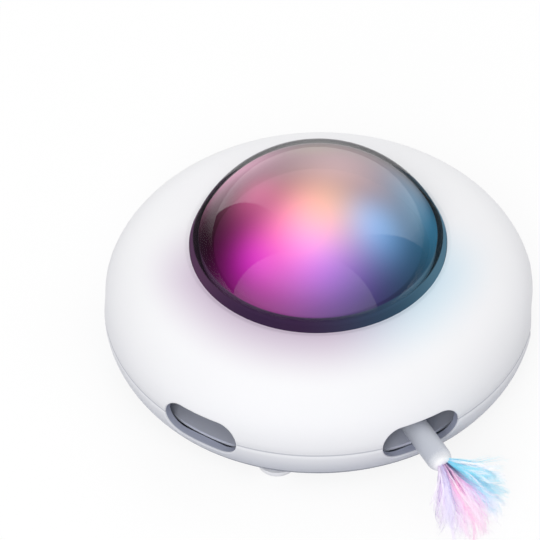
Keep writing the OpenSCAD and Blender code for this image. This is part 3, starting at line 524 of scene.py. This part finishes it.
def marabou_dye_and_painted_glow():
    """Colour by the place across the fan and along the barb, held in the piece's attributes, with
    painted shade at the roots and a painted glow of the barbs' own colour.
    """
    material, wire, shader = new_finish("marabou_dye_and_painted_glow")
    tree = material.node_tree
    fan = wire.node("ShaderNodeAttribute", {"attribute_name": "fan"}, out="Fac")
    along = wire.node("ShaderNodeAttribute", {"attribute_name": "along"}, out="Fac")
    shade = wire.node("ShaderNodeAttribute", {"attribute_name": "shade"}, out="Fac")
    spot, x, y, z = place_of(wire)
    patch = speckle(wire, spot, 4 * mm)
    across = fan + (patch - 0.5) * 0.1 + (shade - 0.5) * 0.06
    dye = wire.node("ShaderNodeValToRGB", {"stops": [
        (0.0, tone("f3e9f8")), (0.12, tone("ead6f3")), (0.26, tone("dfdff9")), (0.36, tone("f5d8f3")),
        (0.44, tone("ffbfe1")), (0.53, tone("ffb2da")), (0.60, tone("f6d0f2")), (0.66, tone("d5e2fb")),
        (0.72, tone("90e6f5")), (0.85, tone("7ae4f4")), (1.0, tone("a6f0f9"))]}, {0: across})
    tips = along ** 1.8 * (0.25 + shade * 0.45) + shade.ease(0.66, 0.72) * 0.75
    paled = tips.blend(dye, tone("fdfbff"))
    sparse = (1 - shade.ease(0.14, 0.2)) * (1 - across.ease(0.3, 0.55) * along * 0.6)
    paled = (sparse * 0.7).blend(paled, tone("7a70a8"))
    # Painted shade: the colour darkens towards the roots.
    deep = across.ease(0.6, 0.72).blend(tone("b7a0cc"), tone("5fc2e6"))
    paled = ((1 - along.ease(0.0, 0.5)) * 0.4).blend(paled, deep)
    # Painted shade: a dark navy shadow at the roots, between the pink and the blue.
    middle = (across - 0.46).ease(0.0, 0.06) * (1 - (across - 0.68).ease(0.0, 0.06))
    root_shadow = (1 - along.ease(0.2, 0.5)) * middle * (1 - shade.ease(0.5, 0.65))
    colour = (root_shadow * 0.9).blend(paled, tone("2f376f"))
    wire.feed(shader.inputs["Base Color"], colour)
    wire.feed(shader.inputs["Roughness"], 0.5 + patch * 0.2)
    # Painted light: the barbs glow in their own colour, standing in for light passing through them.
    wire.feed(shader.inputs["Emission Color"], colour)
    shader.inputs["Emission Strength"].default_value = 0.33
    shader.inputs["Sheen Weight"].default_value = 0.3
    shader.inputs["Sheen Roughness"].default_value = 0.4
    through = wire.node("ShaderNodeBsdfTranslucent", {}, {"Color": (0.96, 0.95, 0.98, 1)})
    mixed = wire.node("ShaderNodeMixShader", {}, {0: 0.5, 1: Wire(tree, shader.outputs[0]), 2: through})
    tree.links.new(mixed.socket, tree.nodes["Material Output"].inputs[0])
    return material


def plume_tree(finish):
    """Node tree that grows the barbs and their barbules from the plug."""
    tree = bpy.data.node_groups.new("plume_tree", "GeometryNodeTree")
    sizes = {"Locks": ("NodeSocketInt", lock_count), "Barbs in a lock": ("NodeSocketInt", lock_barbs),
             "Reach": ("NodeSocketFloat", barb_reach), "Side reach": ("NodeSocketFloat", side_reach),
             "Barb width": ("NodeSocketFloat", barb_width),
             "Barbule width": ("NodeSocketFloat", barbule_width)}
    for name, (kind, value) in sizes.items():
        tree.interface.new_socket(name, in_out="INPUT", socket_type=kind).default_value = value
    tree.interface.new_socket("Plume", in_out="OUTPUT", socket_type="NodeSocketGeometry")
    given = tree.nodes.new("NodeGroupInput")
    result = tree.nodes.new("NodeGroupOutput")
    wire = Wire(tree)

    def size(name):
        return Wire(tree, given.outputs[name])

    def chance(which, seed, low=0.0, high=1.0):
        return wire.node("FunctionNodeRandomValue", {"data_type": "FLOAT"},
                         {2: low, 3: high, "ID": which, "Seed": seed}, out=1)

    def wave(value):
        return wire.node("ShaderNodeMath", {"operation": "SINE"}, {0: value})

    def turn_cos(value):
        return wire.node("ShaderNodeMath", {"operation": "COSINE"}, {0: value})

    def floored(value):
        return wire.node("ShaderNodeMath", {"operation": "FLOOR"}, {0: value})

    def barb_point(which, t):
        """Place of a barb at the share t of its length, its place across the fan and its shade."""
        lock = floored((which + 0.5) / size("Barbs in a lock"))
        fan = ((lock + chance(lock, 1)) / size("Locks")) ** blue_lean
        fan = fan + chance(which, 2, -1.0, 1.0) * (0.02 - 0.012 * wave(t * 2.6))
        side = fan * 2 - 1
        deep = chance(lock, 3, -1.0, 1.0) * 0.9 + chance(which, 4, -0.1, 0.1)
        length = size("Reach") + (size("Side reach") - size("Reach")) * (side - 0.16) ** 2
        length = length * chance(lock, 5, 0.84, 1.04) * (1 - 0.3 * chance(which, 6) ** 2.2)
        phase = chance(lock, 7, 0.0, math.tau)
        own = chance(which, 8, 0.0, math.tau)
        sway = wave(t * 6.0 + phase) * t * lock_sway + wave(t * 13 + own) * t * barb_sway
        angle = fan_middle + side * fan_half * (0.35 + 0.65 * t ** 0.35) + sway
        drop = -0.40 + side * 0.36 + side * side * 0.24
        sag = t * 0.72 + t * t * 0.28
        across = length * t
        x = root.x + across * turn_cos(angle)
        y = root.y + across * wave(angle) + side * root_half * (1 - t)
        lift = deep * (root_half * (1 - t) + lock_lift * wave(t * 2.3))
        z = root.z + length * drop * sag + lift + wave(t * 7 + phase) * t * lock_ripple
        z = wire.node("ShaderNodeMath", {"operation": "SMOOTH_MAX"}, {0: z, 1: floor_gap, 2: 2 * mm})
        shade = chance(lock, 9) * 0.8 + chance(which, 10) * 0.2
        return x, y, z, fan, shade

    def strand(amount, joints):
        """A number of straight lines, with each point's line and its share of the length."""
        line = wire.node("GeometryNodeCurvePrimitiveLine", {}, {"Start": (0, 0, 0), "End": (0, 0, mm)})
        line = wire.node("GeometryNodeResampleCurve", {}, {"Curve": line, "Count": joints})
        line = wire.node("GeometryNodeDuplicateElements", {"domain": "SPLINE"},
                         {"Geometry": line, "Amount": amount})
        which = wire.node("GeometryNodeCurveOfPoint", out="Curve Index")
        t = wire.node("GeometryNodeSplineParameter", out="Factor")
        return line, which, t

    def skinned(line, point, radius, marks):
        """Lines moved to their points and made thin tubes, with the marks that the dye reads."""
        spot = wire.node("ShaderNodeCombineXYZ", {}, {0: point[0], 1: point[1], 2: point[2]})
        for name, value in marks.items():
            line = wire.node("GeometryNodeStoreNamedAttribute",
                             {"data_type": "FLOAT", "domain": "POINT"},
                             {"Geometry": line, "Name": name, "Value": value})
        line = wire.node("GeometryNodeSetPosition", {}, {"Geometry": line, "Position": spot})
        line = wire.node("GeometryNodeSetCurveRadius", {}, {"Curve": line, "Radius": radius})
        ring = wire.node("GeometryNodeCurvePrimitiveCircle", {"mode": "RADIUS"},
                         {"Resolution": 3, "Radius": 1.0})
        tube = tree.nodes.new("GeometryNodeCurveToMesh")
        wire.feed(tube.inputs["Curve"], line)
        wire.feed(tube.inputs["Profile Curve"], ring)
        wire.feed(tube.inputs["Fill Caps"], True)
        if "Scale" in tube.inputs:
            wire.feed(tube.inputs["Scale"], radius)
        return Wire(tree, tube.outputs[0])

    barbs_made = size("Locks") * size("Barbs in a lock")
    line, which, t = strand(barbs_made, barb_joints)
    x, y, z, fan, shade = barb_point(which, t)
    radius = size("Barb width") * (1 - t * 0.6)
    barbs = skinned(line, (x, y, z), radius, {"fan": fan, "along": t, "shade": shade})

    line, which, t = strand(barbs_made * barbule_share, barbule_joints)
    start = chance(which, 11, 0.25, 0.94)
    x, y, z, fan, shade = barb_point(floored((which + 0.5) / barbule_share), start + t * 0.07)
    lean_angle = chance(which, 12, 0.0, math.tau)
    spread = t * chance(which, 13, 0.5 * mm, 1.8 * mm)
    low_z = z + spread * wave(lean_angle) * 0.6
    low_z = wire.node("ShaderNodeMath", {"operation": "MAXIMUM"}, {0: low_z, 1: floor_gap})
    point = (x + spread * 0.45, y + spread * turn_cos(lean_angle) * 0.7, low_z)
    radius = size("Barbule width") * (1 - t * 0.6)
    marks = {"fan": fan, "along": start + t * 0.1, "shade": shade}
    barbules = skinned(line, point, radius, marks)

    joined = tree.nodes.new("GeometryNodeJoinGeometry")
    tree.links.new(barbules.socket, joined.inputs[0])
    tree.links.new(barbs.socket, joined.inputs[0])
    whole = wire.node("GeometryNodeRealizeInstances", {}, {"Geometry": Wire(tree, joined.outputs[0])})
    whole = wire.node("GeometryNodeSetMaterial", {}, {"Geometry": whole, "Material": finish})
    tree.links.new(whole.socket, result.inputs["Plume"])
    return tree


marabou_dye_with_painted_glow = marabou_dye_and_painted_glow()
plume = bpy.data.objects.new("plume", bpy.data.meshes.new("plume"))
bpy.context.scene.collection.objects.link(plume)
grown = plume.modifiers.new("barbs", "NODES")
grown.node_group = plume_tree(marabou_dye_with_painted_glow)
settle(plume, sharp=180)
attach(plume, "wand")
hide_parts("feather")


# Upper shell: the domed top of the body in the same white ABS, with the upper halves of the slots
# and a dished seat for the dome. It drops over the base's locating lip.
upper_white = shell_finish("upper_white", upper_rise, upper_power, 1, dome_glow_painted=1.0)
rounded_shell("upper_shell", "upper_moulding", upper_white, cutters)
bpy.data.objects.remove(cutters)


# Light board, lights and diffuser: a white board with eight colour lights in square cups, under a
# frosted cap. Each light's colour spreads through the cap and runs into its neighbours'.
def pools_of_light(wire, x, y, pools):
    """Soft pools of colour. Each has its colour, its bearing and reach from the axis, its width
    in millimetres, and how far it is drawn out along its bearing."""
    glow = None
    for colour, bearing, reach, width, drawn in pools:
        c, s = math.cos(math.radians(bearing)), math.sin(math.radians(bearing))
        along = (x * c + y * s - reach * mm) / (width * drawn * mm)
        across = (y * c - x * s) / (width * mm)
        share = math.e ** ((along * along + across * across) * -1)
        part = wire.node("ShaderNodeVectorMath", {"operation": "SCALE"}, {0: colour, "Scale": share})
        if glow is None:
            glow = part
        else:
            glow = wire.node("ShaderNodeVectorMath", {"operation": "ADD"}, {0: glow, 1: part})
    return glow


def lit_cap():
    """Frosted cap: the lights' colours run together in it."""
    material, wire, shader = new_finish("lit_cap")
    spot, x, y, z = place_of(wire)
    frost = speckle(wire, spot, 1.2 * mm)
    glow = pools_of_light(wire, x, y, [
        ((0.1, 0.5, 0.9), 22.5, 28, 20, 1.0),
        ((0.9, 0.6, 0.5), 157.5, 24, 22, 1.0),
        ((1.0, 0.1, 0.6), 247.5, 26, 20, 1.0),
        ((0.9, 0.3, 0.9), 337.5, 26, 20, 1.0)])
    wire.feed(shader.inputs["Emission Color"], glow)
    shader.inputs["Emission Strength"].default_value = 1.0
    wire.feed(shader.inputs["Base Color"], frost.blend(tone("cfcbd4"), tone("dad6df")))
    wire.feed(shader.inputs["Roughness"], 0.8 + frost * 0.2)
    shader.inputs["Specular IOR Level"].default_value = 0.05
    return material


def light_cup():
    """Square light cup: white body and a faintly glowing window."""
    material, wire, shader = new_finish("light_cup")
    spot, x, y, z = place_of(wire)
    fine = speckle(wire, spot, 0.6 * mm)
    wire.feed(shader.inputs["Base Color"], fine.blend(tone("e9e2cc"), tone("fff8e6")))
    wire.feed(shader.inputs["Emission Color"], fine.blend(tone("ffb8d8"), tone("d8c8ff")))
    shader.inputs["Emission Strength"].default_value = 0.6
    wire.feed(shader.inputs["Roughness"], 0.3 + fine * 0.1)
    return material


dress(circuit_board("board_white", "d9dad6", "c4c6c0", 3 * mm), "light_board")
dress(light_cup(), "lights")
dress(lit_cap(), "light_diffuser")


# Dome: a smoked polycarbonate cap with a thick dark band at its foot, snapped into the shell's
# seat on a black gasket. It is glossy outside and misted inside, and the lights' glow is painted on
# its misted inside and its band as emission.
rim_r, rim_z, cap_z = 54.2 * mm, 51.97 * mm, 54.27 * mm
dome_radius, dome_middle = 57.76 * mm, 33.51 * mm
dome_wall = 2.2 * mm
band_z, shelf_z = 57.27 * mm, 53.37 * mm
collar_r, collar_in, collar_z, collar_bead = 49.7 * mm, 47.2 * mm, 47.67 * mm, 0.7 * mm
rim_round, foot_chamfer = 0.6 * mm, 0.2 * mm
shoulder_in, shoulder_down, shoulder_top = 0.06 * mm, 0.35 * mm, 0.1 * mm
inner_bends, outer_bends = 48, 72
dome_turns = 180


def dome_outline():
    """Half section of the dome, from the top of its inside round to the top of its outside."""
    inner = dome_radius - dome_wall
    points = []
    inner_end = math.acos((band_z - dome_middle) / inner)
    for i in range(inner_bends + 1):
        a = inner_end * i / inner_bends
        points.append((inner * math.sin(a), dome_middle + inner * math.cos(a)))
    points += [(collar_r, band_z), (collar_r, shelf_z), (collar_in, shelf_z), (collar_in, collar_z),
               (collar_r, collar_z), (collar_r + collar_bead, collar_z + collar_bead),
               (collar_r, collar_z + 2 * collar_bead), (collar_r, rim_z),
               (rim_r - foot_chamfer, rim_z), (rim_r, rim_z + foot_chamfer),
               (rim_r, cap_z - rim_round), (rim_r - shoulder_in, cap_z - shoulder_down)]
    outer_end = math.acos((cap_z - shoulder_top - dome_middle) / dome_radius)
    for i in range(outer_bends + 1):
        a = outer_end * (1 - i / outer_bends)
        points.append((dome_radius * math.sin(a), dome_middle + dome_radius * math.cos(a)))
    return points


def turning_tree(finish):
    """Node tree that turns a half section about the upright axis."""
    tree = bpy.data.node_groups.new("turning_tree", "GeometryNodeTree")
    tree.interface.new_socket("Section", in_out="INPUT", socket_type="NodeSocketGeometry")
    turns = tree.interface.new_socket("Turns", in_out="INPUT", socket_type="NodeSocketInt")
    turns.default_value = dome_turns
    tree.interface.new_socket("Turned", in_out="OUTPUT", socket_type="NodeSocketGeometry")
    given = tree.nodes.new("NodeGroupInput")
    result = tree.nodes.new("NodeGroupOutput")
    wire = Wire(tree)
    section = wire.node("GeometryNodeMeshToCurve", {}, {"Mesh": Wire(tree, given.outputs["Section"])})
    axis = wire.node("GeometryNodeCurvePrimitiveCircle", {"mode": "RADIUS"},
                     {"Resolution": Wire(tree, given.outputs["Turns"]), "Radius": 0.0001 * mm})
    turned = wire.node("GeometryNodeCurveToMesh", {}, {"Curve": axis, "Profile Curve": section})
    turned = wire.node("GeometryNodeMergeByDistance", {}, {"Geometry": turned, "Distance": 0.002 * mm})
    turned = wire.node("GeometryNodeRealizeInstances", {}, {"Geometry": turned})
    turned = wire.node("GeometryNodeSetMaterial", {}, {"Geometry": turned, "Material": finish})
    tree.links.new(turned.socket, result.inputs["Turned"])
    return tree


def smoked_clear():
    """Smoked plastic: dark where it is thick, with the lights' glow painted as emission on its misted
    inside and its foot band.
    """
    material, wire, shader = new_finish("smoked_clear")
    spot, x, y, z = place_of(wire)
    ripple = speckle(wire, spot, 40 * mm)
    height = z - dome_middle
    out = (x * x + y * y + height * height) ** 0.5 - (dome_radius - dome_wall / 2)
    misted = (1 - out.ease(-0.3 * mm, 0.3 * mm)) * (z - band_z).ease(0.0, 0.15 * mm)
    foot = 1 - (z - band_z).ease(-0.3 * mm, 0.3 * mm)
    clear = ripple.blend(tone("f4f2f6"), tone("fcfbfd"))
    wall = misted.blend(clear, tone("100e13"))
    wire.feed(shader.inputs["Base Color"], foot.blend(wall, tone("26232c")))
    wire.feed(shader.inputs["Roughness"], 0.008 + ripple * 0.01)
    # Painted light: pools of the lights' colours glow as emission on the dark misted inside.
    glow = pools_of_light(wire, x, y, [
        ((0.10, 0.38, 0.75), 22.5, 30, 12, 1.0),
        ((0.01, 0.23, 0.41), 67.5, 42, 21, 0.7),
        ((0.64, 0.42, 0.45), 112.5, 14, 24, 1.0),
        ((0.06, 0.08, 0.02), 157.5, 24, 10, 0.7),
        ((1.66, 0.71, 1.08), 202.5, 56, 18, 1.4),
        ((0.42, 0.06, 0.16), 247.5, 26, 10, 1.0),
        ((0.27, 0.00, 0.30), 292.5, 40, 11, 0.7),
        ((0.05, 0.03, 0.62), 337.5, 36, 18, 0.7),
        ((0.90, 0.58, 0.21), 333, 20, 18, 1.0),
        ((0.82, 0.00, 0.46), 307, 30, 18, 1.0)])
    # Painted light: the foot band glows purple on the left and blue on the right, darker at the front,
    # and a faint glow of the same colours lies on the dome's outside by its foot.
    right, ahead = off_front(x, y, rim_r)
    sideways = right.ease(-0.2, 0.8)
    painted_band_glow = sideways.blend((0.085, 0.038, 0.085, 1), (0.075, 0.165, 0.235, 1))
    painted_front_band_glow = sideways.blend((0.038, 0.018, 0.054, 1), (0.028, 0.070, 0.115, 1))
    painted_band_glow = ahead.ease(0.35, 0.9).blend(painted_band_glow, painted_front_band_glow)
    painted_foot_glow = ((1 - z.ease(57 * mm, 70 * mm)) * 0.1).blend((0, 0, 0, 1), painted_band_glow)
    lit = misted.blend(painted_foot_glow, glow)
    wire.feed(shader.inputs["Emission Color"], foot.blend(lit, painted_band_glow))
    shader.inputs["Emission Strength"].default_value = 1.0
    front = ahead.ease(0.45, 0.75) * (z - band_z).ease(0.0, 3 * mm) * 0.8
    behind = (0 - ahead).ease(0.1, 0.6)
    gloss = (z - behind * (15 * mm)).ease(65 * mm, 76 * mm) * 0.96 + 0.04
    wire.feed(shader.inputs["Coat Weight"], (1 - misted) * (gloss + front * (1 - gloss)))
    shader.inputs["Coat Roughness"].default_value = 0.01
    shader.inputs["Coat IOR"].default_value = 1.5
    shader.inputs["Transmission Weight"].default_value = 1.0
    shader.inputs["IOR"].default_value = 1.005
    smoke = wire.node("ShaderNodeVolumeAbsorption", {},
                      {"Color": (0.07, 0.07, 0.07, 1), "Density": 80.0})
    surface = material.node_tree.nodes["Material Output"]
    material.node_tree.links.new(smoke.socket, surface.inputs["Volume"])
    return material


smoked = smoked_clear()
section = dome_outline()
section_mesh = bpy.data.meshes.new("dome_cover")
section_lines = [(i, i + 1) for i in range(len(section) - 1)]
section_mesh.from_pydata([(r, -z, 0) for r, z in section], section_lines, [])
dome = bpy.data.objects.new("dome_cover", section_mesh)
bpy.context.scene.collection.objects.link(dome)
turning = dome.modifiers.new("turning", "NODES")
turning.node_group = turning_tree(smoked)
settle(dome, sharp=40)
bm = bmesh.new()
bm.from_mesh(dome.data)
bmesh.ops.recalc_face_normals(bm, faces=bm.faces)
bm.to_mesh(dome.data)
bm.free()
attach(dome, "housing")
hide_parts("dome_lens")
dress(moulded("gasket_black", "202126", 0.6, grain=0.4 * mm, depth=0.03 * mm, drift=0.3), "dome_gasket")


# Studio: a white floor, a soft even surround and two broad lamps. The surround shows two tall
# white screens to whatever is glossy, one of them round, with a dark gap on either side.
def white_floor():
    """White with its shadow to the camera and in what is glossy or clear, dull as a bounce."""
    material = bpy.data.materials.new("white_floor")
    material.use_nodes = True
    tree = material.node_tree
    tree.nodes.clear()
    wire = Wire(tree)
    surface = tree.nodes.new("ShaderNodeOutputMaterial")
    seen = wire.node("ShaderNodeLightPath", out="Is Camera Ray")
    for also in ("Is Transmission Ray", "Is Glossy Ray"):
        seen = seen + wire.node("ShaderNodeLightPath", out=also)
    lit = wire.node("ShaderNodeBsdfDiffuse", {}, {"Color": (0.97, 0.97, 0.97, 1)})
    dull = wire.node("ShaderNodeBsdfDiffuse", {}, {"Color": (0.36, 0.37, 0.42, 1)})
    white = wire.node("ShaderNodeEmission", {}, {"Color": (1, 1, 1, 1), "Strength": 1.0})
    shown = wire.node("ShaderNodeMixShader", {}, {0: 0.85, 1: lit, 2: white})
    whole = wire.node("ShaderNodeMixShader", {}, {0: seen, 1: dull, 2: shown})
    tree.links.new(whole.socket, surface.inputs[0])
    return material


bm = bmesh.new()
bmesh.ops.create_grid(bm, x_segments=2, y_segments=2, size=6.0)
floor_mesh = bpy.data.meshes.new("floor")
bm.to_mesh(floor_mesh)
bm.free()
floor = bpy.data.objects.new("floor", floor_mesh)
bpy.context.scene.collection.objects.link(floor)
floor_mesh.materials.append(white_floor())


soft_light = 0.78
tall_edge, tall_slope, tall_end = 0.16, 0.26, -0.37
round_way, round_edge = Vector((0.765, -0.643, 0.028)), 0.495
screen_blur = 0.01


def studio_surround():
    """White to the camera, even soft light for the rest, and two screens in what is glossy."""
    world = bpy.data.worlds.new("studio")
    bpy.context.scene.world = world
    world.use_nodes = True
    tree = world.node_tree
    tree.nodes.clear()
    wire = Wire(tree)
    surface = tree.nodes.new("ShaderNodeOutputWorld")
    way = wire.node("ShaderNodeTexCoord", out="Generated")
    x, y, z = [wire.node("ShaderNodeSeparateXYZ", {}, {0: way}, out=i) for i in range(3)]
    low = 1 - z.ease(0.45, 0.9)

    def beyond(distance):
        return distance.ease(-screen_blur, screen_blur)

    back = beyond(tall_edge + z * tall_slope - x) * beyond(y - tall_end)
    front = beyond(x * round_way.x + y * round_way.y + z * round_way.z - round_edge)
    mirrored = 0.04 + low * (back * 1.6 + front * 1.3)
    glossy = wire.node("ShaderNodeLightPath", out="Is Glossy Ray")
    camera_ray = wire.node("ShaderNodeLightPath", out="Is Camera Ray")
    through = wire.node("ShaderNodeLightPath", out="Is Transmission Ray")
    strength = soft_light + glossy * (mirrored - soft_light) + (camera_ray + through) * (1 - soft_light)
    backdrop = wire.node("ShaderNodeBackground", {}, {"Color": (1, 1, 1, 1), "Strength": strength})
    tree.links.new(backdrop.socket, surface.inputs[0])


studio_surround()
bpy.context.scene.view_settings.view_transform = "Standard"


lamp_aim = Vector((0, 0, 30 * mm))
lamp_size = 1.0


def lamp(name, place, power):
    """Round soft lamp that lights the object and isn't mirrored in it."""
    light = bpy.data.lights.new(name, "AREA")
    light.shape = "DISK"
    light.size = lamp_size
    light.energy = power
    holder = bpy.data.objects.new(name, light)
    bpy.context.scene.collection.objects.link(holder)
    holder.location = place
    holder.rotation_mode = "QUATERNION"
    holder.rotation_quaternion = (lamp_aim - Vector(place)).to_track_quat("-Z", "Y")
    holder.visible_glossy = False
    holder.visible_transmission = False
    holder.visible_camera = False


lamp("key", (1.24, -0.98, 1.06), 12)
lamp("fill", (-1.2, 0.7, 1.1), 4.5)
